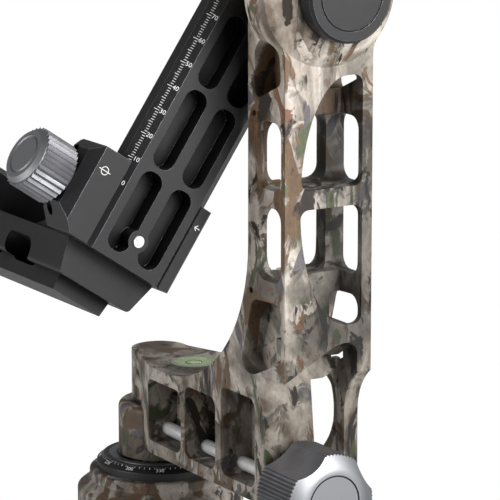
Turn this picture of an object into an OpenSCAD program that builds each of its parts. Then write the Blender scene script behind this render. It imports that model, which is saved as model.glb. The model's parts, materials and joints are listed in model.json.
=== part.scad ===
// Gimbal head for a long lens: a machined L-frame turns on a tripod base and
// carries a swinging rail with a sliding lens platform. Millimetres.
// X runs from the pan axis out to the upright, Y across it, Z up from the tripod face.

/* [Frame] */
// Height of the tilt axis above the tripod face
tilt_z = 229.5; // [224:0.5:240]
// Distance from the pan axis to the outer face of the upright
arm_out = 127; // [124:0.5:132]
// Depth of the upright from its inner to its outer face
arm_depth = 26; // [25:0.5:30]
// Width of the upright and the foot
arm_w = 38; // [36:0.5:42]
// Height of the flat top of the foot
foot_top = 69.5; // [68:0.5:73]
// Height of the underside of the foot
foot_low = 34; // [32:0.5:35]
// Radius of the sweep from the foot into the upright
sweep_r = 64; // [58:1:66]
// Radius of the tilt hub
hub_r = 28; // [26:0.5:32]
// Radius of the nose of the foot round the pan axis
nose_r = 11.5; // [11:0.25:14]

/* [Base] */
// Radius of the base at the tripod face
base_r = 34; // [32:0.5:40]
// Height of the base below the degree ring
base_h = 20; // [18:0.5:22]
// Radius of the degree ring
ring_r = 26; // [24:0.5:28]
// Height of the degree ring
ring_h = 6; // [5:0.25:6.5]
// Radius of the round boss of the frame over the pan bearings
boss_r = 17; // [16:0.25:18]
// Radius of the tripod screw thread
thread_r = 4.76; // [3:0.01:5]

/* [Swinging rail] */
// Angle of the rail from hanging straight down
swing_deg = 33.9; // [0:0.1:60]
// Length of the rail below the tilt axis
rail_drop = 121.7; // [116:0.1:123]
// Half width of the flat land of the rail
land_half = 16; // [15:0.25:17]
// Width and depth of the sloped dovetail edge
dovetail = 4.5; // [4:0.25:5]
// Thickness of the rail
rail_t = 10; // [9:0.25:11]
// Gap between the rail and the upright
rail_gap = 7; // [6:0.25:8]

/* [Lens platform] */
// Length of the clamp along the rail
clamp_len = 34.3; // [30:0.1:38]
// Travel of the clamp jaws when they open
jaw_travel = 2.5; // [1:0.25:3]
// Width of the lens plate that the upper clamp takes
plate_w = 38; // [36:0.5:40]
// Length of the upper clamp along the lens
lens_clamp_len = 60; // [50:1:80]

/* [Knobs and shafts] */
// Radius of the large lock knobs
knob_r = 18.5; // [16:0.25:20]
// Radius of the lock rods
rod_r = 2.7; // [2:0.1:3]
// Radius of the tilt shaft
shaft_r = 8; // [7:0.25:9]
// Radial clearance of a part that turns or slides in its bore
run_gap = 0.05; // [0.02:0.01:0.1]
// Clearance between faces of pieces that move past each other
face_gap = 0.3; // [0.2:0.05:0.5]

/* [Hidden] */
$fn = 48;
// Steps in a rounded corner of an outline
steps = 6;
// Overshoot of a cut past the face it opens
past = 1;
camo = "#8a7a63";
black = "#26272a";
steel = "#c9cacc";

half_w = arm_w / 2;
arm_in = arm_out - arm_depth;

// Pan bearing stack, from the degree ring up
boss_low = base_h + ring_h + face_gap;
lock_z = foot_low + 8;
boss_top = lock_z + 6;
spindle_r = 6;
spindle_top_r = 4;
bush_r = spindle_r + 3;
bush_h = base_h * 0.7;
bearing_h = 6;
pan_bearing_r = 13;
top_bearing_r = 8.5;
top_bearing_h = 5.5;
drum_r = 10.5;
drum_h = 10;
drum_z = lock_z - drum_h / 2;
drum_top = drum_z + drum_h;
lower_bearing_z = boss_low + 1.5;
upper_bearing_z = boss_top + 0.5;
nut_z = upper_bearing_z + top_bearing_h;
nut_h = 3;
nut_r = top_bearing_r - 1.5;
pan_bore_top = nut_z + nut_h + 1;
ring_lip_r = boss_r + 4;
ring_seat = 1.5;
edge_t = 1.3;
edge_w = 3;

// Pan lock: the rod runs beside the spindle, along the front of the foot
lock_y = -9;
shoe_len = 5;
shoe_r = 3.4;
shoe_tip = sqrt(pow(drum_r, 2) - pow(abs(lock_y) - shoe_r, 2)) + face_gap;
knob_len = 26;
knob_face_t = 2.6;
knob_back = arm_out - 7;
grip_end = knob_back + knob_len - knob_face_t;
face_r = knob_r - 1;
face_groove_r = knob_r * 0.58;
flutes = 48;

// Upright walls and openings
wall_in = 6.6;
wall_out = 2.8;
leg_x = arm_out - 13;
step_z = foot_top - 5.5;
step_rise = 6;
window_1 = [tilt_z - 73.5, tilt_z - 48];
window_2 = [tilt_z - 108, tilt_z - 80];
window_half = half_w - 8;
window_corner = 5;
eye_z = tilt_z - 78.5;
eye_half = [20.5, 47];
eye_y = 8;
eye_right = 14.6;
rib = [tilt_z - 80.2, tilt_z - 73];
eye_x = arm_in + 11;
pocket_top_z = [tilt_z - 41.5, tilt_z - 18];
pocket_d = 9;
set_holes = [[arm_in + 4.4, tilt_z - 46.3], [arm_in + 2.2, tilt_z - 113.6]];
set_r = 1.2;
set_depth = 6;

// Arch over the pan knob and the windows behind it
arch_low = foot_low - 14;
arch_top = foot_top + 28;
arch_side = foot_top + 14.5;
arch_right = half_w - 6;
arch_bite = 0.5;
cheek_t = 8;
hole_z = foot_top - 0.5;

// Foot pockets along the rod
pocket_low = lock_z - rod_r - 0.1;
pocket_x = [[22.5, 50, foot_top - 5], [53, 76.5, foot_top - 1.5], [80.5, 105.8, foot_top + 4.5]];
pocket_back = lock_y + rod_r + 1.3;
pocket_corner = 4;

// Bubble level in the top of the foot
level_x = 27.5;
level_r = 8;
level_t = 4;
level_wall = 0.6;
level_rim_w = 1;

// Tilt hub, bearings and lock
hub_in = arm_in - 3;
hub_out = arm_out + 7;
hub_nose_r = 19.5;
collar_r = half_w + 1;
flare_from = arm_in + 5;
flare_to = arm_in + 12;
tilt_bearing_r = 13;
tilt_bearing_w = 8;
inner_bearing_x = hub_in + 3.5;
outer_bearing_x = hub_out - 14;
tilt_lock_x = (inner_bearing_x + tilt_bearing_w + outer_bearing_x) / 2;
tilt_shoe_r = 4;
tilt_shoe_h = 5;
tilt_shoe_z = tilt_z + shaft_r + face_gap;
tilt_knob_z = tilt_z + hub_r + 4;
cap_r = 17.6;
cap_t = 7.7;
cap_groove_r = 13;

// Rail and clamp, in the frame of the hanging rail
rail_face = arm_in - rail_gap;
rail_back = rail_face - rail_t;
rail_half = land_half + dovetail;
rail_top = 24;
flange_r = 15;
flange_t = 3;
slot_half = 5;
slot_off = 7.4;
slot_depth = 7;
slot_pitch = 34.4;
slot_len = 32.2;
slot_low = rail_drop - 3.4;
stop_s = rail_drop - 10.7;
stop_r = 2.2;
stop_depth = 5;
stop_boss_r = 4.2;
rail_screw_r = 2;
rail_screw_at = flange_r - 4;
clamp_low = rail_drop - 0.2;
clamp_mid = clamp_low - clamp_len / 2;
clamp_back = rail_back - face_gap - 9.4;
lip_x = rail_face - 1.5;
lip_gap = face_gap * sqrt(2);
jaw_in = rail_half + face_gap;
jaw_wall = 2.4;
jaw_out = 34;
jaw_chamfer = 8;
screw_x = clamp_back + 5;
screw_r = 2.6;
pin_r = 2;
pin_reach = jaw_travel + 4.5;
pin_span = clamp_len - 11;
lip_sum = rail_face + land_half + lip_gap;
small_knob_r = 12;
small_knob_len = 15;
small_face_t = 2;
small_flutes = 32;
knob_gap = 0.6;

// Lens platform and its clamp
beam_top = rail_drop;
beam_half = 19;
beam_depth = 13;
keel_half = 11.5;
keel_depth = 19;
keel_end = rail_back - 8;
beam_start = -24;
floor_t = 6;
lens_jaw_h = 8;
lens_jaw_w = 11;
lens_half = plate_w / 2;
lens_floor = beam_top - floor_t;
lens_screw_s = lens_floor + floor_t / 2;
lens_pin_y = lens_clamp_len / 2 - 9;
lens_jaw_top = -lens_floor + lens_jaw_h;
lens_lip = 4;
lens_edge = 2;
lens_jaw_in = -lens_half - face_gap;
lens_jaw_out = lens_jaw_in - lens_jaw_w;
web_t = 9;
web_up = clamp_low - clamp_len + 6;
web_foot = clamp_back - web_t - 40;
bolt_r = 2.2;
bolt_head_r = 3.6;
bolt_head_t = 3;
bolt_y = 12;
bolt_s = clamp_mid - 4;
hole_len = 20;
hole_pitch = 27;

function unit(v) = v / norm(v);

// Points of a rounded corner at p1 between p0 and p2
function corner(p0, p1, p2, r) =
    let (a = unit(p0 - p1), b = unit(p2 - p1), half = acos(a * b) / 2,
         centre = p1 + unit(a + b) * r / sin(half),
         from = p1 + a * r / tan(half) - centre,
         start = atan2(from[1], from[0]),
         sweep = sign(cross(p1 - p0, p2 - p1)) * (180 - 2 * half),
         n = r > 20 ? 3 * steps : steps)
    [for (i = [0 : n]) centre + r * [cos(start + sweep * i / n), sin(start + sweep * i / n)]];

// Closed outline from [x, y, radius] corners
function outline(pts) =
    [for (i = [0 : len(pts) - 1])
        let (n = len(pts), p = pts[i], a = pts[(i + n - 1) % n], b = pts[(i + 1) % n])
        each p[2] > 0 ? corner([a[0], a[1]], [p[0], p[1]], [b[0], b[1]], p[2]) : [[p[0], p[1]]]];

function arc(centre, radii, a0, a1, n) =
    [for (i = [0 : n])
        let (a = a0 + (a1 - a0) * i / n)
        centre + [radii[0] * cos(a), radii[1] * sin(a)]];

function rounded(x0, x1, y0, y1, r) = outline([[x0, y0, r], [x1, y0, r], [x1, y1, r], [x0, y1, r]]);

// Extrudes an outline drawn in Y and Z along X
module along_x(x0, x1) {
    translate([x0, 0, 0]) rotate([90, 0, 90]) linear_extrude(x1 - x0) children();
}

// Extrudes an outline drawn in X and Z along Y
module along_y(y0, y1) {
    translate([0, y1, 0]) rotate([90, 0, 0]) linear_extrude(y1 - y0) children();
}

// Cylinder along X
module rod_x(x0, x1, r) {
    translate([x0, 0, 0]) rotate([0, 90, 0]) cylinder(h = x1 - x0, r = r);
}

// Cylinder along Y
module rod_y(y0, y1, r) {
    translate([0, y0, 0]) rotate([-90, 0, 0]) cylinder(h = y1 - y0, r = r);
}

module tube(h, r, bore) {
    difference() {
        cylinder(h = h, r = r);
        translate([0, 0, -past]) cylinder(h = h + 2 * past, r = bore);
    }
}

// Places a piece in the frame of the hanging rail
module on_rail() {
    translate([0, 0, tilt_z]) rotate([-swing_deg, 0, 0]) children();
}

// Fluted grip of a knob, along Z, with a bore for its rod
module grip(h, r, bore, flutes) {
    depth = 0.9;
    lead = 1.2;
    difference() {
        union() {
            translate([0, 0, lead]) linear_extrude(h - lead) polygon([for (i = [0 : 2 * flutes - 1])
                let (a = 180 * i / flutes, q = i % 2 == 0 ? r : r - depth)
                q * [cos(a), sin(a)]]);
            cylinder(h = lead + 0.01, r1 = r - depth - lead, r2 = r - depth);
        }
        translate([0, 0, -past]) cylinder(h = h + 2 * past, r = bore);
    }
}

// Turned metal face of a knob, with a ring groove, along Z
module knob_face(t, r, groove_r) {
    bevel = t * 0.8;
    groove = 0.5;
    rotate_extrude() polygon([[0, 0], [r, 0], [r, t - bevel], [r - bevel, t], [groove_r + groove, t],
                              [groove_r, t - groove], [groove_r - groove, t], [0, t]]);
}

module base_plate() {
    foot_h = base_h * 0.6;
    shoulder_r = ring_r + 3;
    shoulder_h = 4;
    edge = 1;
    soft = 1.5;
    color(camo) difference() {
        rotate_extrude() polygon(outline([[0, 0, 0], [base_r - edge, 0, 0], [base_r, edge, 0],
                                          [base_r, foot_h, soft], [shoulder_r, base_h - shoulder_h, soft],
                                          [shoulder_r, base_h, edge], [0, base_h, 0]]));
        translate([0, 0, -past]) cylinder(h = base_h + 2 * past, r = bush_r);
    }
}

module tripod_bush() {
    color(steel) tube(bush_h, bush_r, thread_r);
}

// Ring with a sloped band for the degree marks and a seat for its bright edge
module degree_ring() {
    band_low = ring_h * 0.55;
    band_in = 2.6;
    lip_h = ring_h - 0.5;
    bore = boss_r - 2;
    color(black) translate([0, 0, base_h]) rotate_extrude()
        polygon(outline([[bore, 0, 0], [ring_r, 0, 0], [ring_r, band_low, 0.6], [ring_r - band_in, lip_h, 0],
                         [ring_lip_r, lip_h, 0], [ring_lip_r, ring_h - ring_seat, 0],
                         [bore, ring_h - ring_seat, 0]]));
}

module ring_edge() {
    color(steel) translate([0, 0, base_h + ring_h - ring_seat]) tube(edge_t, ring_lip_r, ring_lip_r - edge_w);
}

module pan_spindle() {
    color(steel) {
        translate([0, 0, bush_h]) cylinder(h = base_h - bush_h, r = bush_r);
        translate([0, 0, base_h]) cylinder(h = drum_z - base_h, r = spindle_r);
        translate([0, 0, drum_z]) cylinder(h = drum_h, r = drum_r);
        translate([0, 0, drum_top]) cylinder(h = upper_bearing_z - drum_top, r = spindle_r);
        translate([0, 0, upper_bearing_z]) cylinder(h = nut_z + nut_h - upper_bearing_z, r = spindle_top_r);
    }
}

module pan_lower_bearing() {
    color(steel) translate([0, 0, lower_bearing_z]) tube(bearing_h, pan_bearing_r, spindle_r + run_gap);
}

module pan_upper_bearing() {
    color(steel) translate([0, 0, upper_bearing_z])
        tube(top_bearing_h, top_bearing_r, spindle_top_r + run_gap);
}

module spindle_nut() {
    color(steel) translate([0, 0, nut_z]) tube(nut_h, nut_r, spindle_top_r + run_gap);
}

// Side view of the frame: foot, sweep and upright
module side_profile() {
    polygon(outline([[-2 * nose_r, foot_low, 0], [leg_x, foot_low, 5], [leg_x, step_z, 4],
                     [arm_out, step_z + step_rise, 3], [arm_out, tilt_z, 0], [arm_in, tilt_z, 0],
                     [arm_in, foot_top, sweep_r], [-2 * nose_r, foot_top, 0]]));
}

// Plan of the frame: the nose flares out to the full width
module plan_profile() {
    flare_x = 25;
    polygon(concat(arc([0, 0], [nose_r, nose_r], 90, 270, 16),
                   outline([[3, -nose_r, 0], [flare_x, -half_w, 9], [arm_out + past, -half_w, 0],
                            [arm_out + past, half_w, 0], [flare_x, half_w, 9], [3, nose_r, 0]])));
}

// Concave blend from the side of the upright into the round hub, on one side
module hub_blend(side) {
    blend_r = 10;
    bite = 0.15;
    y = half_w + blend_r;
    z = tilt_z - sqrt(pow(hub_r + blend_r - bite, 2) - pow(y, 2));
    end = atan2(tilt_z - z, -y);
    points = concat(arc([y, z], [blend_r, blend_r], 180, end, steps), [[0, tilt_z - hub_r / 2], [0, z]]);
    along_x(flare_to, arm_out) polygon([for (p = points) [side * p[0], p[1]]]);
}

// Turned hub: a collar on the inner side flares out to the full radius
module hub() {
    edge = 1.5;
    translate([0, 0, tilt_z]) rotate([0, 90, 0]) rotate_extrude()
        polygon([[0, hub_in], [collar_r - edge, hub_in], [collar_r, hub_in + edge], [collar_r, flare_from],
                 [hub_r, flare_to], [hub_r, arm_out], [hub_nose_r, hub_out], [0, hub_out]]);
}

// Boss over the pan bearings
module pan_boss() {
    crown = 2;
    soft = 3;
    rotate_extrude() polygon(outline([[0, boss_low, 0], [boss_r, boss_low, 0], [boss_r, boss_top, soft],
                                      [0, boss_top + crown, 0]]));
}

// Angle on the eye's ellipse at a height above its middle, on the left side
function eye_angle(dz) = 180 - asin(dz / eye_half[1]);

// Half of the eye-shaped opening of the outer wall, from the rib's edge up or down:
// the left side is elliptical, the right side straight
module eye(edge, side) {
    soft = 3.5;
    run = 9;
    dz = edge - eye_z;
    far = eye_z + side * eye_half[1];
    curve = arc([eye_y, eye_z], eye_half, eye_angle(dz + side * run), side > 0 ? 90 : 270, 12);
    polygon(outline(concat([[eye_y + eye_half[0] * cos(eye_angle(dz)), edge, soft]],
                           [for (p = curve) [p[0], p[1], 0]],
                           [[eye_right, far, soft], [eye_right, edge, soft]])));
}

// Pocket above the windows, seen from the side
module top_pocket() {
    left = arm_in + 4.6;
    polygon(outline([[left, pocket_top_z[0], 3], [arm_out - 3, pocket_top_z[0] + 8, 3],
                     [arm_out - 4.4, pocket_top_z[1], 7], [left, pocket_top_z[1], 7]]));
}

// Pocket over the sweep, seen from the side
module sweep_pocket() {
    right = arm_out - 2.5;
    polygon(outline([[arm_in - 8, foot_top + 12.5, 6], [arm_in + 5, foot_top + 14.5, 4],
                     [right, foot_top + 22.5, 4], [right, foot_top + 44.5, 5],
                     [arm_in + 3, foot_top + 43.5, 5], [arm_in - 1, foot_top + 30.5, 14]]));
}

module upright_openings() {
    for (w = [window_1, window_2]) {
        along_y(-half_w - past, half_w + past)
            polygon(rounded(arm_in + wall_in, arm_out - wall_out, w[0], w[1], window_corner));
        along_x(arm_in - past, eye_x + past)
            polygon(rounded(-window_half, window_half, w[0], w[1], window_corner));
    }
    along_x(eye_x, arm_out + past) eye(rib[1], 1);
    along_x(eye_x, arm_out + past) eye(rib[0], -1);
    for (side = [-1, 1]) {
        y0 = side < 0 ? -hub_r - past : half_w - pocket_d;
        y1 = side < 0 ? -half_w + pocket_d : hub_r + past;
        along_y(y0, y1) top_pocket();
        along_y(y0, y1) sweep_pocket();
    }
    for (h = set_holes) {
        translate([h[0], 0, h[1]]) rod_y(-half_w - past, -half_w + set_depth, set_r);
    }
}

// Arch under the outer wall that clears the pan knob, and the windows behind it
module lower_openings() {
    arch_mid = 4;
    cheek = arch_right - 1;
    along_x(leg_x - arch_bite, arm_out + past)
        polygon(outline([[-half_w - past, arch_low, 0], [arch_right, arch_low, 0], [arch_right, arch_top, 5],
                         [arch_mid, arch_top - 0.5, 12], [-half_w - past, arch_side, 0]]));
    along_x(arm_out - cheek_t, arm_out + past)
        polygon([[cheek, arch_low], [half_w + past, arch_low], [half_w + past, foot_top + 5.5],
                 [cheek, foot_top + 17.5]]);
    along_x(arm_in - 2, leg_x + past) polygon(arc([5.5, hole_z], [8, 17], 0, 345, 23));
    along_y(1, half_w + past) polygon(arc([arm_in - 6, hole_z], [16.3, 18], 0, 350, 35));
    for (i = [0 : len(pocket_x) - 1]) {
        p = pocket_x[i];
        shape = rounded(p[0], p[1], pocket_low, p[2], pocket_corner);
        along_y(-half_w - past, pocket_back) polygon(shape);
        if (i < 2) {
            along_y(-pocket_back, half_w + past) polygon(shape);
        }
    }
}

module frame_bores() {
    low_bore = drum_top + face_gap;
    shoe_room = 1;
    translate([0, 0, boss_low - past]) cylinder(h = low_bore - boss_low + past, r = pan_bearing_r + run_gap);
    translate([0, 0, low_bore - past])
        cylinder(h = pan_bore_top - low_bore + past, r = top_bearing_r + run_gap);
    translate([0, lock_y, lock_z]) rod_x(shoe_tip, knob_back + past, rod_r + run_gap);
    translate([0, lock_y, lock_z]) rod_x(shoe_tip - past, shoe_tip + shoe_len + shoe_room, shoe_r + run_gap);
    translate([0, 0, tilt_z]) rod_x(hub_in - past, hub_out + past, tilt_bearing_r + run_gap);
    translate([tilt_lock_x, 0, tilt_z]) {
        cylinder(h = hub_r + past, r = rod_r + run_gap);
        cylinder(h = tilt_shoe_z + tilt_shoe_h + shoe_room - tilt_z, r = tilt_shoe_r + run_gap);
    }
    translate([level_x, 0, foot_top - level_t]) cylinder(h = level_t + past, r = level_r + level_rim_w);
}

module l_frame() {
    color(camo) difference() {
        union() {
            intersection() {
                along_y(-half_w, half_w) side_profile();
                translate([0, 0, foot_low - past]) linear_extrude(tilt_z) plan_profile();
            }
            hub();
            for (side = [-1, 1]) hub_blend(side);
            pan_boss();
        }
        upright_openings();
        lower_openings();
        frame_bores();
    }
}

module bubble_level() {
    sunk = 0.2;
    color("#b9d98a") translate([level_x, 0, foot_top - level_t])
        cylinder(h = level_t - sunk, r = level_r - level_wall);
}

module level_rim() {
    color("#9fb489") translate([level_x, 0, foot_top - level_t])
        tube(level_t, level_r + level_rim_w, level_r - level_wall);
}

module pan_lock_rod() {
    color(steel) translate([0, lock_y, lock_z]) rod_x(shoe_tip + shoe_len, grip_end, rod_r);
}

module pan_lock_shoe() {
    color("#b08d4a") translate([0, lock_y, lock_z]) rod_x(shoe_tip, shoe_tip + shoe_len, shoe_r);
}

module pan_knob() {
    color(black) translate([knob_back, lock_y, lock_z]) rotate([0, 90, 0])
        grip(knob_len - knob_face_t, knob_r, rod_r, flutes);
}

module pan_knob_face() {
    color(steel) translate([grip_end, lock_y, lock_z]) rotate([0, 90, 0])
        knob_face(knob_face_t, face_r, face_groove_r);
}

module tilt_bearing(x) {
    color(steel) translate([x, 0, tilt_z]) rotate([0, 90, 0])
        tube(tilt_bearing_w, tilt_bearing_r, shaft_r + run_gap);
}

module tilt_inner_bearing() {
    tilt_bearing(inner_bearing_x);
}

module tilt_outer_bearing() {
    tilt_bearing(outer_bearing_x);
}

module tilt_lock_rod() {
    low = tilt_shoe_z + tilt_shoe_h;
    color(steel) translate([tilt_lock_x, 0, low])
        cylinder(h = tilt_knob_z + knob_len - knob_face_t - low, r = rod_r);
}

module tilt_lock_shoe() {
    color("#b08d4a") translate([tilt_lock_x, 0, tilt_shoe_z]) cylinder(h = tilt_shoe_h, r = tilt_shoe_r);
}

module tilt_knob() {
    color(black) translate([tilt_lock_x, 0, tilt_knob_z])
        grip(knob_len - knob_face_t, knob_r, rod_r, flutes);
}

module tilt_knob_face() {
    color(steel) translate([tilt_lock_x, 0, tilt_knob_z + knob_len - knob_face_t])
        knob_face(knob_face_t, face_r, face_groove_r);
}

// Cover of the tilt hub, with a spigot in the hub bore and a ring groove on its face
module tilt_cap() {
    spigot = 1;
    wall = 2;
    edge = 1;
    groove = 0.4;
    color(black) translate([hub_out, 0, tilt_z]) rotate([0, 90, 0]) rotate_extrude()
        polygon([[0, edge], [tilt_bearing_r - wall, edge], [tilt_bearing_r - wall, -spigot],
                 [tilt_bearing_r, -spigot], [tilt_bearing_r, 0], [cap_r, 0], [cap_r, cap_t - edge],
                 [cap_r - edge, cap_t], [cap_groove_r + groove, cap_t], [cap_groove_r, cap_t - groove],
                 [cap_groove_r - groove, cap_t], [0, cap_t]]);
}

module tilt_shaft() {
    color(steel) translate([0, 0, tilt_z]) {
        rod_x(rail_face, rail_face + flange_t, flange_r);
        rod_x(rail_face + flange_t, hub_out - 2, shaft_r);
    }
}

module shaft_nut() {
    nut_x = outer_bearing_x + tilt_bearing_w + face_gap;
    thick = 3.5;
    wall = 3;
    color(steel) translate([nut_x, 0, tilt_z]) rotate([0, 90, 0])
        tube(thick, shaft_r + wall, shaft_r + run_gap);
}

// Cross-section of the rail, in X and across the rail
module rail_section() {
    polygon([[rail_back, -rail_half], [rail_face - dovetail, -rail_half], [rail_face, -land_half],
             [rail_face, land_half], [rail_face - dovetail, rail_half], [rail_back, rail_half]]);
}

// Two rows of long blind slots, left solid round the stop screw
module rail_slots() {
    rows = 3;
    top_short = 3;
    corner_r = 4.3;
    difference() {
        for (row = [0 : rows - 1], side = [-1, 1]) {
            mid = side * slot_off;
            low = -slot_low + row * slot_pitch;
            high = low + slot_len - (row == rows - 1 ? top_short : 0);
            along_x(rail_face - slot_depth, rail_face + past)
                polygon(rounded(mid - slot_half, mid + slot_half, low, high, corner_r));
        }
        translate([0, 0, -stop_s]) rod_x(rail_back, rail_face + 2 * past, stop_boss_r);
    }
}

module swing_rail() {
    soft = 4;
    color(black) on_rail() difference() {
        intersection() {
            translate([0, 0, -rail_drop]) linear_extrude(rail_drop + rail_top) rail_section();
            along_x(rail_back - past, rail_face + past)
                polygon(rounded(-rail_half - 0.01, rail_half + 0.01, -rail_drop - soft, rail_top, soft));
        }
        rail_slots();
        translate([0, 0, -stop_s]) rod_x(rail_face - stop_depth, rail_face + past, stop_r + run_gap);
        rail_screw_ring(rail_back - past, rail_face + past, rail_screw_r);
    }
}

// Four screws round the tilt axis that hold the shaft flange
module rail_screw_ring(x0, x1, r) {
    for (a = [45 : 90 : 315]) {
        rotate([a, 0, 0]) translate([0, 0, rail_screw_at]) rod_x(x0, x1, r);
    }
}

module rail_screws() {
    color(steel) on_rail() rail_screw_ring(rail_back + 1, rail_face, rail_screw_r - run_gap);
}

module rail_stop() {
    proud = 0.6;
    color(steel) on_rail() translate([0, 0, -stop_s])
        rod_x(rail_face - stop_depth, rail_face + proud, stop_r);
}

// Corners of the clamp block taken off, seen along X
module clamp_outline(y0, y1) {
    low = -clamp_low;
    high = low + clamp_len;
    along_x(clamp_back - past, rail_face + past)
        polygon([[y0 + jaw_chamfer, low], [y1, low], [y1, high], [y0 + jaw_chamfer / 2, high],
                 [y0, high - jaw_chamfer / 2], [y0, low + jaw_chamfer]]);
}

module clamp_holes(y0, y1, pin_bore, screw_bore) {
    for (side = [-1, 1]) {
        translate([screw_x, 0, -clamp_mid + side * pin_span / 2]) rod_y(y0, y1, pin_bore);
    }
    translate([screw_x, 0, -clamp_mid]) rod_y(y0, y1, screw_bore);
}

module rail_clamp() {
    right = jaw_in + jaw_wall;
    seat = rail_back - face_gap;
    edge = 1;
    hole_end = 2;
    color(black) on_rail() difference() {
        translate([0, 0, -clamp_low]) linear_extrude(clamp_len)
            polygon([[clamp_back, -rail_half], [seat, -rail_half], [seat, jaw_in], [lip_sum - jaw_in, jaw_in],
                     [lip_x, lip_sum - lip_x], [lip_x, right - edge], [lip_x - edge, right],
                     [clamp_back, right]]);
        clamp_holes(-rail_half - past, hole_end, pin_r + run_gap, screw_r + run_gap);
    }
}

module clamp_pins() {
    pin_end = 1;
    color(steel) on_rail() for (side = [-1, 1]) {
        translate([screw_x, 0, -clamp_mid + side * pin_span / 2]) rod_y(-jaw_in - pin_reach, pin_end, pin_r);
    }
}

module clamp_jaw() {
    front_edge = 4;
    back_edge = 3;
    color(black) on_rail() difference() {
        intersection() {
            translate([0, 0, -clamp_low]) linear_extrude(clamp_len)
                polygon([[clamp_back, -jaw_in], [lip_sum - jaw_in, -jaw_in], [lip_x, lip_x - lip_sum],
                         [lip_x, -jaw_out + front_edge], [lip_x - front_edge, -jaw_out],
                         [clamp_back + back_edge, -jaw_out], [clamp_back, -jaw_out + back_edge]]);
            clamp_outline(-jaw_out, -land_half + jaw_chamfer / 2);
        }
        clamp_holes(-jaw_out - past, -jaw_in + past, pin_r + run_gap, screw_r + run_gap);
    }
}

module clamp_screw() {
    color(steel) on_rail() translate([screw_x, 0, -clamp_mid])
        rod_y(-jaw_out - knob_gap - small_knob_len, 0, screw_r);
}

// Turned face of a small knob
module small_face() {
    translate([0, 0, small_knob_len]) knob_face(small_face_t, small_knob_r - 0.9, small_knob_r * 0.6);
}

// Turns a knob drawn along Z to point along -Y from the clamp jaw
module at_clamp_knob() {
    on_rail() translate([screw_x, -jaw_out - knob_gap, -clamp_mid]) rotate([90, 0, 0]) children();
}

module clamp_knob() {
    color(black) at_clamp_knob() grip(small_knob_len, small_knob_r, screw_r, small_flutes);
}

module clamp_knob_face() {
    color(steel) at_clamp_knob() small_face();
}

// Section of the beam under the lens clamp
module beam_section() {
    foot = beam_half - 2;
    waist_z = -beam_top - beam_depth / 2;
    low = -beam_top - beam_depth;
    polygon(outline([[-beam_half - 2, -beam_top, 0], [beam_half + 2, -beam_top, 0], [beam_half, waist_z, 6],
                     [foot, low, 2], [-foot, low, 2], [-beam_half, waist_z, 6]]));
}

// Bracket that carries the lens clamp in from the rail to the pan axis
module lens_platform() {
    keel_join = -beam_top - beam_depth + 1;
    keel_low = -beam_top - keel_depth;
    sunk = 2;
    hole_from = beam_start + 8;
    color(black) on_rail() difference() {
        union() {
            along_x(beam_start, rail_back - face_gap) beam_section();
            along_x(beam_start, keel_end)
                polygon([[-keel_half - 1, keel_join], [keel_half + 1, keel_join],
                         [keel_half, keel_low], [-keel_half, keel_low]]);
            along_y(-beam_half, beam_half)
                polygon(outline([[clamp_back, -beam_top - sunk, 0], [clamp_back, -web_up, 0],
                                 [clamp_back - web_t, -web_up, 3], [clamp_back - web_t, -beam_top, 16],
                                 [web_foot, -beam_top, 0], [web_foot, -beam_top - sunk, 0]]));
        }
        for (x = [hole_from : hole_pitch : keel_end - hole_len - 4]) {
            along_y(-beam_half - 3, beam_half + 3)
                polygon(rounded(x, x + hole_len, keel_low + 5, -beam_top - 5, 4));
        }
        platform_bolts(clamp_back - web_t - past, clamp_back + past, bolt_r);
    }
}

module platform_bolts(x0, x1, r) {
    for (side = [-1, 1]) {
        translate([0, side * bolt_y, -bolt_s]) rod_x(x0, x1, r);
    }
}

module platform_screws() {
    color(steel) on_rail() {
        platform_bolts(clamp_back - web_t, clamp_back, bolt_r - run_gap);
        platform_bolts(clamp_back - web_t - bolt_head_t, clamp_back - web_t, bolt_head_r);
    }
}

// Floor and fixed jaw of the lens clamp
module lens_clamp() {
    outer = lens_half + lens_jaw_w;
    color(black) on_rail() difference() {
        along_y(-lens_clamp_len / 2, lens_clamp_len / 2)
            polygon([[-lens_half, -beam_top], [outer, -beam_top], [outer, lens_jaw_top - lens_edge],
                     [outer - lens_edge, lens_jaw_top], [lens_half - lens_lip, lens_jaw_top],
                     [lens_half, lens_jaw_top - lens_lip], [lens_half, -lens_floor],
                     [-lens_half, -lens_floor]]);
        lens_holes(-lens_half - past, 0, pin_r + run_gap, screw_r + run_gap);
    }
}

module lens_holes(x0, x1, pin_bore, screw_bore) {
    for (side = [-1, 1]) {
        translate([0, side * lens_pin_y, -lens_screw_s]) rod_x(x0, x1, pin_bore);
    }
    translate([0, 0, -lens_screw_s]) rod_x(x0, x1, screw_bore);
}

module lens_clamp_pins() {
    color(steel) on_rail() for (side = [-1, 1]) {
        translate([0, side * lens_pin_y, -lens_screw_s]) rod_x(lens_jaw_in - pin_reach, -1, pin_r);
    }
}

module lens_jaw() {
    low = -beam_top + face_gap;
    color(black) on_rail() difference() {
        along_y(-lens_clamp_len / 2, lens_clamp_len / 2)
            polygon([[lens_jaw_in, low], [lens_jaw_in, lens_jaw_top - lens_lip],
                     [lens_jaw_in + lens_lip, lens_jaw_top], [lens_jaw_out + lens_edge, lens_jaw_top],
                     [lens_jaw_out, lens_jaw_top - lens_edge], [lens_jaw_out, low]]);
        lens_holes(lens_jaw_out - past, lens_jaw_in + past, pin_r + run_gap, screw_r + run_gap);
    }
}

module lens_screw() {
    color(steel) on_rail() translate([0, 0, -lens_screw_s])
        rod_x(lens_jaw_out - knob_gap - small_knob_len, -1, screw_r);
}

// Turns a knob drawn along Z to point along -X from the lens jaw
module at_lens_knob() {
    on_rail() translate([lens_jaw_out - knob_gap, 0, -lens_screw_s]) rotate([0, -90, 0]) children();
}

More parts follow.
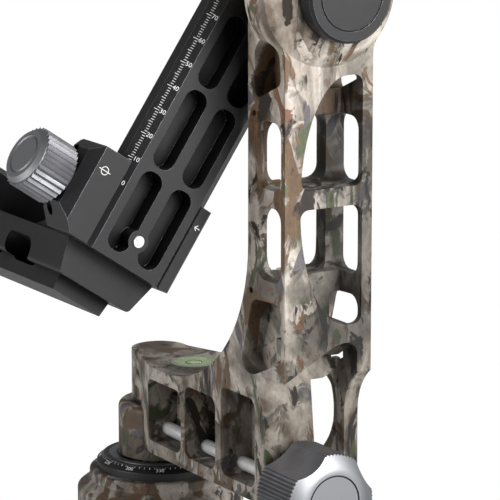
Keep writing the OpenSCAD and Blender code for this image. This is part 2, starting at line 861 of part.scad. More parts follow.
module lens_knob() {
    color(black) at_lens_knob() grip(small_knob_len, small_knob_r, screw_r, small_flutes);
}

module lens_knob_face() {
    color(steel) at_lens_knob() small_face();
}

base_plate();
tripod_bush();
degree_ring();
ring_edge();
pan_spindle();
pan_lower_bearing();
pan_upper_bearing();
spindle_nut();
l_frame();
bubble_level();
level_rim();
pan_lock_rod();
pan_lock_shoe();
pan_knob();
pan_knob_face();
tilt_inner_bearing();
tilt_outer_bearing();
tilt_lock_rod();
tilt_lock_shoe();
tilt_knob();
tilt_knob_face();
tilt_cap();
tilt_shaft();
shaft_nut();
swing_rail();
rail_screws();
rail_stop();
rail_clamp();
clamp_pins();
clamp_jaw();
clamp_screw();
clamp_knob();
clamp_knob_face();
lens_platform();
platform_screws();
lens_clamp();
lens_clamp_pins();
lens_jaw();
lens_screw();
lens_knob();
lens_knob_face();
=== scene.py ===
"""Looks of the gimbal head: finishes, printed scales, small fittings and finer forms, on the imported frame."""
import json
import math

import bmesh
import bpy
from mathutils import Matrix, Vector


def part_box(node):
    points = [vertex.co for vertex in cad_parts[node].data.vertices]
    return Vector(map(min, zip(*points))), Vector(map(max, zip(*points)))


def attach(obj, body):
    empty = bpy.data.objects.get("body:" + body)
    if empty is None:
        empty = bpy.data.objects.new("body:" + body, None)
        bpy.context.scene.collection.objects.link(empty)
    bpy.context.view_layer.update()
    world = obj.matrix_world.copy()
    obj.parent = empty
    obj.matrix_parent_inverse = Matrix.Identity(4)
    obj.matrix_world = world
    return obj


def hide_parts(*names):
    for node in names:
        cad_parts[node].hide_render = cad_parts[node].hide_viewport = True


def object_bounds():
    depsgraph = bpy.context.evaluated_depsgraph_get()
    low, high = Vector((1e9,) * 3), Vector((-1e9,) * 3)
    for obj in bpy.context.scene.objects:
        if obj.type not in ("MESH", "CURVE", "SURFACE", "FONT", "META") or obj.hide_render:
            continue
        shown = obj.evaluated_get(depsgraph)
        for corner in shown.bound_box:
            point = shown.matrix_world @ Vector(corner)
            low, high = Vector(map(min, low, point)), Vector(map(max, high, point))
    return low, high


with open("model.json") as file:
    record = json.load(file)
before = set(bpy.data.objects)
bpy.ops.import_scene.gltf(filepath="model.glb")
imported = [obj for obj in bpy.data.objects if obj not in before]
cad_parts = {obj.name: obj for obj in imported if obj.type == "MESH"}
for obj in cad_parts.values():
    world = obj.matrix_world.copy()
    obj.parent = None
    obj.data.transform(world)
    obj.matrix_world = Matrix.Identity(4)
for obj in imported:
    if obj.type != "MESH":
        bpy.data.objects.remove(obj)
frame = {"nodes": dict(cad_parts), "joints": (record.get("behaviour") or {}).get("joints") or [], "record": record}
cad_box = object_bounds()
NODES = frame["nodes"]
JOINTS = {joint["name"]: joint for joint in frame["joints"]}
SLOT = {part["node"]: part["material_slot"] for part in frame["record"]["subparts"]}
MM = 0.001

# Places taken from the frame
TILT = Vector(JOINTS["tilt"]["pos_m"])
UP_RAIL = Vector(JOINTS["platform_slide"]["axis"])
SWING = math.atan2(UP_RAIL.y, UP_RAIL.z)
HANG = Matrix.Translation((0, 0, TILT.z)) @ Matrix.Rotation(-SWING, 4, "X")
RAIL_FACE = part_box("swing_rail")[1].x
RING_LOW, RING_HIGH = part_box("degree_ring")
LEVEL_LOW, LEVEL_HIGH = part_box("bubble_level")
FRAME_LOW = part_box("l_frame")[0]

# Half the width of the rail's flat face
LAND_HALF = 16 * MM
# Vertices of a solid that lie nearer than this are one
WELD = 0.002 * MM
# Points of a turned mesh that lie nearer than this are one
AXIS_WELD = 0.0001 * MM


# Small tools for objects, meshes and outlines
def add(name, data):
    """A new object in the scene."""
    obj = bpy.data.objects.new(name, data)
    bpy.context.scene.collection.objects.link(obj)
    return obj


def mesh_of(bm, name):
    """Mesh from a finished bmesh."""
    mesh = bpy.data.meshes.new(name)
    bm.to_mesh(mesh)
    bm.free()
    return mesh


def baked(obj):
    """Mesh of an object with its modifiers applied. The object itself is removed."""
    bpy.context.view_layer.update()
    mesh = bpy.data.meshes.new_from_object(obj.evaluated_get(bpy.context.evaluated_depsgraph_get()))
    bpy.data.objects.remove(obj)
    return mesh


def arc(centre, radii, start, stop, step):
    """Points on an ellipse at whole angles in degrees, as range counts them."""
    angles = [math.radians(a) for a in range(start, stop, step)]
    return [(centre[0] + radii[0] * math.cos(a), centre[1] + radii[1] * math.sin(a)) for a in angles]


def rectangle(u, v):
    """Corners of a rectangle from its two ranges."""
    return [(u[0], v[0]), (u[1], v[0]), (u[1], v[1]), (u[0], v[1])]


# Finishes
# Most values of a noise lie between these two
NOISE_LOW, NOISE_HIGH = 0.3, 0.7


def linear(code, factor=1.0):
    """Linear colour of an sRGB hex code, made darker or lighter by a factor."""
    channels = [int(code[i:i + 2], 16) / 255 for i in (1, 3, 5)]
    straight = [c / 12.92 if c <= 0.04045 else ((c + 0.055) / 1.055) ** 2.4 for c in channels]
    return [min(1.0, c * factor) for c in straight] + [1.0]


class Shader:
    """A node material with short calls for the nodes that the finishes share."""

    def __init__(self, name):
        self.material = bpy.data.materials.new(name)
        self.material.use_nodes = True
        self.tree = self.material.node_tree
        self.bsdf = self.tree.nodes["Principled BSDF"]
        self.place = self.tree.nodes.new("ShaderNodeTexCoord").outputs["Object"]

    def feed(self, socket, value):
        """Links an output to a socket, or sets the socket to a constant."""
        if hasattr(value, "is_output"):
            self.tree.links.new(value, socket)
        else:
            socket.default_value = value

    def node(self, kind, inputs, **settings):
        """A new node with its settings and what goes into its sockets."""
        made = self.tree.nodes.new(kind)
        for key, value in settings.items():
            setattr(made, key, value)
        for key, value in inputs.items():
            self.feed(made.inputs[key], value)
        return made

    def moved(self, offset=(0, 0, 0), scale=(1, 1, 1)):
        """The place on the object, stretched and shifted."""
        inputs = {"Vector": self.place, "Location": offset, "Scale": scale}
        return self.node("ShaderNodeMapping", inputs).outputs["Vector"]

    def noise(self, scale, detail, distortion=0.0, vector=None, rough=0.55):
        """Noise over the object, or over another vector."""
        inputs = {"Vector": vector or self.place, "Scale": scale, "Detail": detail, "Roughness": rough,
                  "Distortion": distortion}
        return self.node("ShaderNodeTexNoise", inputs).outputs["Fac"]

    def vector(self, operation, inputs):
        """Node for one step with vectors."""
        return self.node("ShaderNodeVectorMath", inputs, operation=operation)

    def ramp(self, source, stops):
        """Colour that follows a source through stops of (position, colour)."""
        made = self.node("ShaderNodeValToRGB", {"Fac": source})
        elements = made.color_ramp.elements
        while len(elements) < len(stops):
            elements.new(0.5)
        for element, (position, colour) in zip(elements, stops):
            element.position = position
            element.color = colour
        return made.outputs["Color"]

    def grey(self, source, low, high, dark=0.0, light=1.0):
        """Rises from dark to light as the source goes from low to high."""
        return self.ramp(source, [(low, (dark, dark, dark, 1)), (high, (light, light, light, 1))])

    def mottle(self, source, dark, light):
        """Colour that wanders between two tones with a noise."""
        return self.ramp(source, [(NOISE_LOW, dark), (NOISE_HIGH, light)])

    def wander(self, source, low, high):
        """Value that wanders between two others with a noise."""
        return self.grey(source, NOISE_LOW, NOISE_HIGH, low, high)

    def span(self, source, low, high, start, end):
        """Goes evenly from start to end as the source goes from low to high."""
        inputs = {"Value": source, "From Min": low, "From Max": high, "To Min": start, "To Max": end}
        return self.node("ShaderNodeMapRange", inputs).outputs["Result"]

    def mix(self, factor, a, b, mode="MIX"):
        """Colour a, mixed with colour b by a factor."""
        made = self.node("ShaderNodeMix", {0: factor, 6: a, 7: b}, data_type="RGBA", blend_type=mode)
        return made.outputs[2]

    def times(self, *factors):
        """Product of colours or greys."""
        total = factors[0]
        for factor in factors[1:]:
            total = self.mix(1.0, total, factor, "MULTIPLY")
        return total

    def recess(self, distance, low, high, dark, light):
        """Painted shade: rises from dark in deep recesses to light on open faces."""
        made = self.node("ShaderNodeAmbientOcclusion", {"Distance": distance}, samples=8, only_local=True)
        return self.grey(made.outputs["AO"], low, high, dark, light)

    def bump(self, source, distance, strength):
        """Normal of a surface that is as rough as a source says."""
        inputs = {"Height": source, "Distance": distance, "Strength": strength}
        return self.node("ShaderNodeBump", inputs).outputs["Normal"]

    def finish(self, **values):
        """Sets or links what the surface has, and gives the material."""
        for key, value in values.items():
            self.feed(self.bsdf.inputs[key.replace("_", " ")], value)
        return self.material


# Camouflage: the ground's colours by level of noise, and the patches from the lowest layer to the topmost
CAMO_GROUND = ((0.30, "#4a4239"), (0.40, "#75695c"), (0.47, "#a99f94"),
               (0.54, "#c8bfb4"), (0.60, "#8d867b"), (0.70, "#66605a"))
CAMO_PATCHES = (
    {"code": "#c2b9ad", "scale": 40, "offset": (0.31, 0.12, 0.07), "level": 0.575, "z_scale": 0.62},
    {"code": "#6b676a", "scale": 46, "offset": (0.07, 0.55, 0.21), "level": 0.60},
    {"code": "#6d5742", "scale": 44, "offset": (0.57, 0.35, 0.11), "level": 0.565, "z_scale": 0.55,
     "distortion": 2.0},
    {"code": "#585f43", "scale": 54, "offset": (0.77, 0.05, 0.33), "level": 0.60},
    {"code": "#7d5a44", "scale": 62, "offset": (0.15, 0.83, 0.61), "level": 0.645},
    {"code": "#332b25", "scale": 58, "offset": (0.48, 0.29, 0.93), "level": 0.595, "z_scale": 0.6,
     "distortion": 2.0},
    {"code": "#29231d", "scale": 95, "offset": (0.21, 0.64, 0.37), "level": 0.625, "z_scale": 0.22,
     "distortion": 1.2},
)
# Edge of a patch: how soft it is, and the dark line that shows on its lower side
PATCH_BLEND = 0.025
PATCH_LINE = "#2a241f"
PATCH_LINE_SHIFT = (-0.6 * MM, 0.6 * MM, 1.0 * MM)
PATCH_LINE_STRENGTH = (0.5, 0.5, 0.5, 1)
# Share of the fine grain in the coat's colour
GRAIN_SHARE = 0.7

# Tones of the coat by place, each with the start and the end of its change. The tone low on the outer wall is
# painted shade
UPRIGHT_X = (100 * MM, 102 * MM)
MIDDLE_START_Z, MIDDLE_END_Z = (86 * MM, 100 * MM), (180 * MM, 208 * MM)
ACROSS_Y, ACROSS_TONE = (-19 * MM, 14 * MM), (0.9, 0.26)
WALL_FOOT_Z, WALL_FACING = (95 * MM, 130 * MM), (0.5, 0.9)
WALL_FOOT_SHADE = (0.58, 0.57, 0.55, 1)
FOOT_HEIGHT, FOOT_TONE = 95 * MM, (0.55, 1.0)


def toned(s, colour):
    """Coat's colour, darker across the upright to its far side and at the foot, with painted shade low on its
    outer wall.
    """
    x, y, z = s.node("ShaderNodeSeparateXYZ", {"Vector": s.place}).outputs
    normal = s.node("ShaderNodeTexCoord", {}).outputs["Normal"]
    outward = s.node("ShaderNodeSeparateXYZ", {"Vector": normal}).outputs["X"]
    upright = s.span(x, *UPRIGHT_X, 0, 1)
    middle = s.times(s.span(z, *MIDDLE_START_Z, 0, 1), s.span(z, *MIDDLE_END_Z, 1, 0), upright)
    colour = s.mix(middle, colour, s.times(colour, s.span(y, *ACROSS_Y, *ACROSS_TONE)))
    # Painted shade low on the outer wall, on faces that look outward
    wall_foot_shade = s.times(s.span(z, *WALL_FOOT_Z, 1, 0), s.span(outward, *WALL_FACING, 0, 1), upright)
    colour = s.mix(wall_foot_shade, colour, s.times(colour, WALL_FOOT_SHADE))
    return s.times(colour, s.span(z, FRAME_LOW.z, FRAME_LOW.z + FOOT_HEIGHT, *FOOT_TONE))


def camouflage():
    """Satin coat with a generic blotch camouflage in woodland colours, with painted shade in recesses and low on
    the outer wall.
    """
    s = Shader("camo_coat")

    def patches(colour, code, scale, offset, level, z_scale=0.7, distortion=1.5):
        """Lays patches of one colour over another, with a dark line on their lower side."""
        def mask(shift=(0, 0, 0)):
            place = s.moved([v + d for v, d in zip(offset, shift)], (1, 1, z_scale))
            return s.grey(s.noise(scale, 5, distortion, place), level, level + PATCH_BLEND)

        line = s.times(mask(PATCH_LINE_SHIFT), PATCH_LINE_STRENGTH)
        return s.mix(mask(), s.mix(line, colour, linear(PATCH_LINE)), linear(code))

    ground = s.noise(scale=26, detail=4, distortion=1.1, vector=s.moved((0.013, 0.027, 0.041), (1, 1, 0.7)))
    colour = s.ramp(ground, [(level, linear(code)) for level, code in CAMO_GROUND])
    for layer in CAMO_PATCHES:
        colour = patches(colour, **layer)
    along_z = s.moved((0.2, 0.4, 0.1), (1, 1, 0.25))
    streaks = s.noise(scale=190, detail=6, distortion=1.2, vector=along_z, rough=0.7)
    colour = s.mix(GRAIN_SHARE, colour, s.grey(streaks, 0.30, 0.68, dark=0.55, light=1.15), "MULTIPLY")
    specks = s.noise(scale=520, detail=5, distortion=0.6, rough=0.7)
    colour = s.mix(GRAIN_SHARE, colour, s.grey(specks, 0.32, 0.70, dark=0.66, light=1.14), "MULTIPLY")
    # Painted shade in the coat's recesses
    recess_shade = s.recess(distance=14 * MM, low=0.15, high=0.75, dark=0.58, light=1.0)
    return s.finish(Base_Color=s.times(toned(s, colour), recess_shade),
                    Roughness=s.wander(s.noise(scale=130, detail=3), 0.42, 0.58),
                    Specular_IOR_Level=0.3,
                    Normal=s.bump(s.noise(scale=900, detail=4), distance=0.03 * MM, strength=0.5))


def anodised(name, code, rough, metallic=0.0):
    """Blasted and anodised metal, with faint cloudiness and rubbed grain, and painted shade that darkens its
    colour and dims its sheen in recesses.
    """
    s = Shader(name)
    cloud = s.mottle(s.noise(scale=60, detail=5), linear(code, 0.8), linear(code, 1.3))
    # Painted shade in recesses, on the colour and on the sheen
    recess_shade = {"distance": 9 * MM, "low": 0.3, "high": 0.9}
    return s.finish(Base_Color=s.times(cloud, s.recess(**recess_shade, dark=0.15, light=1.0)),
                    Specular_IOR_Level=s.recess(**recess_shade, dark=0.06, light=0.36),
                    Roughness=s.wander(s.noise(scale=800, detail=3), rough - 0.06, rough + 0.08),
                    Metallic=metallic,
                    Normal=s.bump(s.noise(scale=2600, detail=2), distance=0.03 * MM, strength=0.45))


def turned(name, code, centre, axis, rough):
    """Metal turned on a lathe: fine rings about an axis through centre."""
    s = Shader(name)
    across = s.vector("SUBTRACT", {0: s.place, 1: centre}).outputs[0]
    along = s.vector("DOT_PRODUCT", {0: across, 1: axis}).outputs["Value"]
    line = s.vector("SCALE", {0: axis, "Scale": along}).outputs[0]
    radial = s.vector("SUBTRACT", {0: across, 1: line}).outputs[0]
    radius = s.vector("LENGTH", {0: radial}).outputs["Value"]
    rings = s.node("ShaderNodeTexNoise", {"W": radius, "Scale": 2800, "Detail": 2}, noise_dimensions="1D")
    lines = rings.outputs["Fac"]
    return s.finish(Base_Color=s.mottle(lines, linear(code, 0.93), linear(code)),
                    Roughness=s.wander(lines, rough - 0.03, rough + 0.03),
                    Metallic=1.0,
                    Normal=s.bump(lines, distance=0.004 * MM, strength=0.2))


def ground_metal(name, code, rough, grain=(1, 1, 1), metallic=1.0):
    """Ground metal with a fine grain, which may be stretched along the piece."""
    s = Shader(name)
    lines = s.noise(scale=900, detail=4, vector=s.moved(scale=grain))
    return s.finish(Base_Color=s.mottle(lines, linear(code, 0.8), linear(code)),
                    Roughness=s.wander(lines, rough - 0.08, rough + 0.08),
                    Metallic=metallic,
                    Normal=s.bump(lines, distance=0.01 * MM, strength=0.5))


def mottled(name, dark, light, rough, scale=300, detail=3, distortion=0.0, **more):
    """Plain finish whose colour wanders between two tones."""
    s = Shader(name)
    colour = s.mottle(s.noise(scale, detail, distortion), linear(dark), linear(light))
    return s.finish(Base_Color=colour, Roughness=rough, **more)


CAMO = camouflage()
BLACK = anodised("black_metal", "#121214", rough=0.42)
GRIP = anodised("knob_grip", "#7c7c80", rough=0.38, metallic=0.8)
# Lighter metal on the edge breaks of the dark parts, a painted highlight
EDGE = ground_metal("edge_highlight", "#8e8e92", rough=0.38, metallic=0.7)
STEEL = ground_metal("steel", "#d6d6d8", rough=0.30)
ROD = ground_metal("rod_steel", "#fafafa", rough=0.34, grain=(0.05, 1, 1), metallic=0.55)
BRASS = ground_metal("brass", "#c39a4f", rough=0.34)
INK = mottled("print_ink", "#b9b9b6", "#e2e2de", rough=0.6, scale=1500)
FLUID = mottled("level_fluid", "#9fbb74", "#bcd692", rough=0.12, scale=160, distortion=0.4,
                Coat_Weight=0.8, Coat_Roughness=0.04)
BUBBLE = mottled("level_air", "#c9e0a2", "#dcecbd", rough=0.08, scale=400, detail=2,
                 Coat_Weight=1.0, Coat_Roughness=0.03)
RIM = mottled("level_rim", "#8f9a80", "#a5b092", rough=0.35)
# Near-black: the level's ring mark, and painted shade in the grooves of the knob faces
DARK_INK_AND_SHADE = mottled("recess", "#0c0c0d", "#151516", rough=0.6)

BY_SLOT = {"camo_coat": CAMO, "black_metal": BLACK, "knob_grip": GRIP, "turned_alloy": STEEL, "steel": STEEL,
           "brass": BRASS, "level_fluid": FLUID, "level_rim": RIM}
# Nodes whose finish differs from their slot's: knob faces have rings about their own axes
KNOB_TURNS = {"pan_knob_face": "pan_knob_turn", "tilt_knob_face": "tilt_knob_turn",
              "clamp_knob_face": "rail_knob_turn", "lens_knob_face": "plate_knob_turn"}
FINISH = {"ring_edge": turned("ring_alloy", "#77787c", (0, 0, 0), (0, 0, 1), rough=0.42), "pan_lock_rod": ROD}
for face, turn in KNOB_TURNS.items():
    centre, axis = JOINTS[turn]["pos_m"], JOINTS[turn]["axis"]
    FINISH[face] = turned(face.replace("_knob", ""), "#88898c", centre, axis, rough=0.47)

# Edges that bend less than the first angle are smoothed, and those that bend more than the second are broken
SMOOTH_BELOW, BREAK_ABOVE = math.radians(32), math.radians(34)
# Edge breaks of the machined pieces, in millimetres
EDGE_BREAK = {"l_frame": 0.6, "swing_rail": 0.3, "rail_clamp": 0.3, "clamp_jaw": 0.3, "lens_platform": 0.3,
              "lens_clamp": 0.3, "lens_jaw": 0.3, "base_plate": 0.4, "degree_ring": 0.12, "tilt_cap": 0.2,
              "pan_knob": 0.12, "tilt_knob": 0.12}


def smooth_group():
    """Joins split vertices and smooths faces that meet at less than a set angle."""
    group = bpy.data.node_groups.new("smooth_by_angle", "GeometryNodeTree")
    group.interface.new_socket("Geometry", in_out="INPUT", socket_type="NodeSocketGeometry")
    group.interface.new_socket("Geometry", in_out="OUTPUT", socket_type="NodeSocketGeometry")
    make, link = group.nodes.new, group.links.new
    source, sink = make("NodeGroupInput"), make("NodeGroupOutput")
    weld = make("GeometryNodeMergeByDistance")
    weld.inputs["Distance"].default_value = WELD
    faces = make("GeometryNodeSetShadeSmooth")
    angle = make("GeometryNodeInputMeshEdgeAngle")
    flat = make("FunctionNodeCompare")
    flat.operation = "LESS_THAN"
    flat.inputs[1].default_value = SMOOTH_BELOW
    edges = make("GeometryNodeSetShadeSmooth")
    edges.domain = "EDGE"
    link(source.outputs[0], weld.inputs["Geometry"])
    link(weld.outputs["Geometry"], faces.inputs["Geometry"])
    link(faces.outputs["Geometry"], edges.inputs["Geometry"])
    link(angle.outputs["Unsigned Angle"], flat.inputs[0])
    link(flat.outputs["Result"], edges.inputs["Shade Smooth"])
    link(edges.outputs["Geometry"], sink.inputs[0])
    return group


SMOOTH = smooth_group()


def finish_node(name, obj):
    """Material, smoothing and edge break of a CAD node, or of the piece that takes its place."""
    material = FINISH.get(name, BY_SLOT[SLOT[name]])
    obj.data.materials.clear()
    obj.data.materials.append(material)
    smooth = obj.modifiers.new("smooth", "NODES")
    smooth.node_group = SMOOTH
    if name in EDGE_BREAK:
        bevel = obj.modifiers.new("edge_break", "BEVEL")
        bevel.width = EDGE_BREAK[name] * MM
        bevel.segments = 2
        bevel.limit_method = "ANGLE"
        bevel.angle_limit = BREAK_ABOVE
        bevel.harden_normals = True
        # Dark parts get the painted highlight on their edge breaks
        if material in (BLACK, GRIP):
            obj.data.materials.append(EDGE)
            bevel.material = 1


for node_name, node_object in NODES.items():
    finish_node(node_name, node_object)


def piece(name, mesh, material, body):
    """A new object of the model that rides on a body."""
    obj = add(name, mesh)
    mesh.materials.clear()
    mesh.materials.append(material)
    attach(obj, body)
    return obj


# Printed marks
def glyph_mesh(text, size, thick):
    """Mesh of a short text, centred on its own middle, facing +Z."""
    curve = bpy.data.curves.new("glyph", "FONT")
    curve.body = text
    curve.size = size
    curve.align_x = "CENTER"
    curve.align_y = "CENTER"
    curve.extrude = thick
    curve.resolution_u = 3
    mesh = baked(add("glyph", curve))
    bpy.data.curves.remove(curve)
    return mesh


class Print:
    """Gathers flat bars and glyphs into one thin printed piece."""

    HALF_THICK = 0.02 * MM
    OVERLAP = 1.05

    def __init__(self):
        self.bm = bmesh.new()

    def bar(self, place, width, height):
        """A flat bar about the middle of a place."""
        matrix = place @ Matrix.Diagonal((width, height, 2 * self.HALF_THICK, 1))
        bmesh.ops.create_cube(self.bm, size=1.0, matrix=matrix)

    def glyph(self, place, text, size):
        """A short text about the middle of a place."""
        mesh = glyph_mesh(text, size, self.HALF_THICK)
        mesh.transform(place)
        self.bm.from_mesh(mesh)
        bpy.data.meshes.remove(mesh)

    def ring(self, place, radius, width, steps=32):
        """A ring of short bars that overlap."""
        length = self.OVERLAP * 2 * math.pi * radius / steps
        for i in range(steps):
            turn = place @ Matrix.Rotation(2 * math.pi * i / steps, 4, "Z")
            self.bar(turn @ Matrix.Translation((radius, 0, 0)), width, length)

    def done(self, name, body):
        """The piece with all that was gathered."""
        return piece(name, mesh_of(self.bm, name), INK, body)


def face_matrix(origin, x_dir, y_dir):
    """Matrix with its origin on a face, X and Y along it and Z out of it."""
    x, y = Vector(x_dir).normalized(), Vector(y_dir).normalized()
    z = x.cross(y)
    return Matrix(((x.x, y.x, z.x, origin[0]), (x.y, y.y, z.y, origin[1]),
                   (x.z, y.z, z.z, origin[2]), (0, 0, 0, 1)))


def rail_scale():
    """Millimetre scale on the sloped edge of the rail, with 0 above the clamp."""
    zero, last, line = 95.6 * MM, 110, 0.2 * MM
    long_tick, middle_tick, short_tick = 2.1 * MM, 1.7 * MM, 1.2 * MM
    tick_end, number_at, number_size = 2.9 * MM, 1.5 * MM, 2.5 * MM
    slope = HANG @ face_matrix((RAIL_FACE, -LAND_HALF, 0), (1, 1, 0), (0, 0, 1))
    marks = Print()
    for mm in range(last + 1):
        height = mm * MM - zero
        length = long_tick if mm % 10 == 0 else middle_tick if mm % 5 == 0 else short_tick
        marks.bar(slope @ Matrix.Translation((-tick_end - length / 2, height, 0)), length, line)
        if mm % 10 == 0:
            marks.glyph(slope @ Matrix.Translation((-number_at, height, 0)), str(mm), number_size)
    marks.done("rail_scale", "swing")


def degree_scale():
    """Degree marks and numbers on the sloped band of the ring."""
    band_width, band_start = 2.6 * MM, 3.3 * MM
    tick_at, long_tick, short_tick, line = 1.0 * MM, 1.0 * MM, 0.6 * MM, 0.22 * MM
    number_at, number_size = 0.05 * MM, 2.3 * MM
    outer, inner = RING_HIGH.x, RING_HIGH.x - band_width
    low, high = RING_LOW.z + band_start, RING_HIGH.z
    slope_up = Vector((inner - outer, 0, high - low)).normalized()
    band = face_matrix(((outer + inner) / 2, 0, (low + high) / 2), (0, 1, 0), slope_up)
    marks = Print()
    for degree in range(0, 360, 5):
        face = Matrix.Rotation(math.radians(degree), 4, "Z") @ band
        if degree % 30 == 0:
            marks.glyph(face @ Matrix.Translation((0, number_at, 0)), str(degree), number_size)
        else:
            length = long_tick if degree % 10 == 0 else short_tick
            marks.bar(face @ Matrix.Translation((0, tick_at, 0)), line, length)
    marks.done("degree_scale", "base")


def index_marks():
    """Index marks printed on the two sides of the rail clamp: a crossed ring and an arrow."""
    line = 0.28 * MM
    jaw_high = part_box("clamp_jaw")[1]
    ring_y, ring_z, ring_r, cross = -26.0 * MM, -95.3 * MM, 1.5 * MM, 5.4 * MM
    face = HANG @ face_matrix((jaw_high.x, ring_y, ring_z), (0, 1, 0), (0, 0, 1))
    marks = Print()
    marks.ring(face, ring_r, line)
    marks.bar(face, cross, line)
    marks.done("jaw_mark", "rail_jaw")
    body_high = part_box("rail_clamp")[1]
    arrow_y, arrow_z, shaft, barb, spread = 20.4 * MM, -95.0 * MM, 2.6 * MM, 1.6 * MM, math.radians(40)
    face = HANG @ face_matrix((body_high.x, arrow_y, arrow_z), (0, 1, 0), (0, 0, 1))
    arrow = Print()
    arrow.bar(face, shaft, line)
    for side in (-1, 1):
        tip = Matrix.Translation((-shaft / 2, 0, 0)) @ Matrix.Rotation(side * spread, 4, "Z")
        arrow.bar(face @ tip @ Matrix.Translation((barb / 2, 0, 0)), barb, line)
    arrow.done("clamp_mark", "platform")


# Turned pieces
def swept(profiles):
    """Mesh through one profile of (angle, radius, height) points per step round Z."""
    bm = bmesh.new()
    loops = [[bm.verts.new((r * math.cos(a), r * math.sin(a), z)) for a, r, z in points]
             for points in profiles]
    for i, here in enumerate(loops):
        there = loops[(i + 1) % len(loops)]
        for j in range(len(here) - 1):
            bm.faces.new((here[j], there[j], there[j + 1], here[j + 1]))
    bmesh.ops.remove_doubles(bm, verts=bm.verts, dist=AXIS_WELD)
    bmesh.ops.recalc_face_normals(bm, faces=bm.faces)
    return mesh_of(bm, "swept")


def lathe(profile, steps=48):
    """Smooth mesh turned about Z from (radius, height) points."""
    turns = [2 * math.pi * i / steps for i in range(steps)]
    mesh = swept([[(turn, r, z) for r, z in profile] for turn in turns])
    for polygon in mesh.polygons:
        polygon.use_smooth = True
    return mesh


def level_details():
    """Ring mark and air bubble of the level."""
    middle = (LEVEL_LOW + LEVEL_HIGH) / 2
    top = Vector((middle.x, middle.y, LEVEL_HIGH.z))
    ring_in, ring_out, ring_h = 3.0 * MM, 3.35 * MM, 0.05 * MM
    ring = lathe(rectangle((ring_in, ring_out), (0, ring_h)) + [(ring_in, 0)])
    ring.transform(Matrix.Translation(top))
    piece("level_ring", ring, DARK_INK_AND_SHADE, "frame")
    bubble_r, bubble_h, drift = 2.3 * MM, 0.3 * MM, Vector((0.6, 0.5, 0)) * MM
    bubble = lathe([(0, 0)] + arc((0, 0), (bubble_r, bubble_h), 0, 91, 15))
    bubble.transform(Matrix.Translation(top + drift))
    piece("level_bubble", bubble, BUBBLE, "frame")


# Lock knobs: smooth flutes between knurled lands, under a domed face with a groove
FLUTES = 4
FLUTE_HALF = math.radians(23.5)
FLUTE_R = 20 * MM
TEETH = 76
TOOTH_DEPTH = 0.6 * MM
TOOTH_STEPS = 4
KNOB_CHAMFER = 1.0 * MM
DOME_R = 12 * MM
DOME_POWER = 1.5
DOME_RINGS = 5
GROOVE_IN, GROOVE_OUT, GROOVE_DEPTH = 10.4 * MM, 11.0 * MM, 0.7 * MM
GROOVE_REACH = 0.65 * MM
BUTTON_DROP = 0.1 * MM


def knob_radius(angle, radius):
    """Radius of a lock knob's outline at an angle from the middle of a flute."""
    step = 2 * math.pi / FLUTES
    off = abs((angle + step / 2) % step - step / 2)
    if off >= FLUTE_HALF:
        return radius - TOOTH_DEPTH * abs(2 * (angle * TEETH / (2 * math.pi) % 1) - 1)
    far = radius * math.cos(FLUTE_HALF) + math.sqrt(FLUTE_R ** 2 - (radius * math.sin(FLUTE_HALF)) ** 2)
    return far * math.cos(off) - math.sqrt(FLUTE_R ** 2 - (far * math.sin(off)) ** 2)


def lock_knob(name, body, place, phase):
    """Grip and face of a lock knob in place of its two plain solids. The place has its Z along the knob."""
    inside = place.inverted()
    grip_box, face_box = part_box(name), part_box(name + "_face")
    start = min((inside @ corner).z for corner in grip_box)
    edge = max((inside @ corner).z for corner in grip_box)
    front = max((inside @ corner).z for corner in face_box)
    radius = max((inside @ corner).y for corner in grip_box)
    rod_low, rod_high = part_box(body + "_rod")
    bore = (rod_high - rod_low).y / 2
    seat, back = edge - KNOB_CHAMFER, edge - KNOB_CHAMFER / 2
    groove_floor, button = front - GROOVE_DEPTH, front - BUTTON_DROP

    def dome(r):
        return front - (front - edge) * max(0.0, (r - DOME_R) / (radius - DOME_R)) ** DOME_POWER

    grips, faces = [], []
    steps = TEETH * TOOTH_STEPS
    for angle in [2 * math.pi * i / steps for i in range(steps)]:
        out = knob_radius(angle, radius)
        rings = [out + (DOME_R - out) * k / DOME_RINGS for k in range(DOME_RINGS + 1)]
        grip = [(bore, seat), (bore, start), (out - KNOB_CHAMFER, start), (out, start + KNOB_CHAMFER),
                (out, dome(out)), (bore, seat)]
        face = [(0, back)] + [(r, dome(r)) for r in rings] + [
            (GROOVE_OUT, front), (GROOVE_OUT, groove_floor), (GROOVE_IN, groove_floor), (GROOVE_IN, button),
            (0, button)]
        grips.append([(angle + phase, r, z) for r, z in grip])
        faces.append([(angle + phase, r, z) for r, z in face])
    for part, profiles in ((name, grips), (name + "_face", faces)):
        mesh = swept(profiles)
        mesh.transform(place)
        obj = piece(part.replace("knob", "lock_knob"), mesh, BLACK, body)
        finish_node(part, obj)
        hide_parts(part)
        if profiles is faces:
            # The sunk faces of the groove get the near-black finish, a painted shade
            mesh.materials.append(DARK_INK_AND_SHADE)
            for polygon in mesh.polygons:
                middle = inside @ polygon.center
                sunk = middle.z < front - GROOVE_DEPTH / 3
                if sunk and abs(middle.xy.length - GROOVE_OUT) < GROOVE_REACH:
                    polygon.material_index = 1


# Frame casting: forms that the frame's solid leaves out. All its sizes are in millimetres
def prism(points, start, end, along_x=False):
    """Object to cut or join with: an outline in X and Z drawn out along Y, or one in Y and Z along X."""
    bm = bmesh.new()
    spots = [[((t, u, v) if along_x else (u, t, v)) for u, v in points] for t in (start, end)]
    caps = [[bm.verts.new(Vector(spot) * MM) for spot in side] for side in spots]
    for cap in caps:
        bm.faces.new(cap)
    for i in range(len(points)):
        j = (i + 1) % len(points)
        bm.faces.new((caps[0][i], caps[0][j], caps[1][j], caps[1][i]))
    bmesh.ops.recalc_face_normals(bm, faces=bm.faces)
    return add("prism", mesh_of(bm, "prism"))


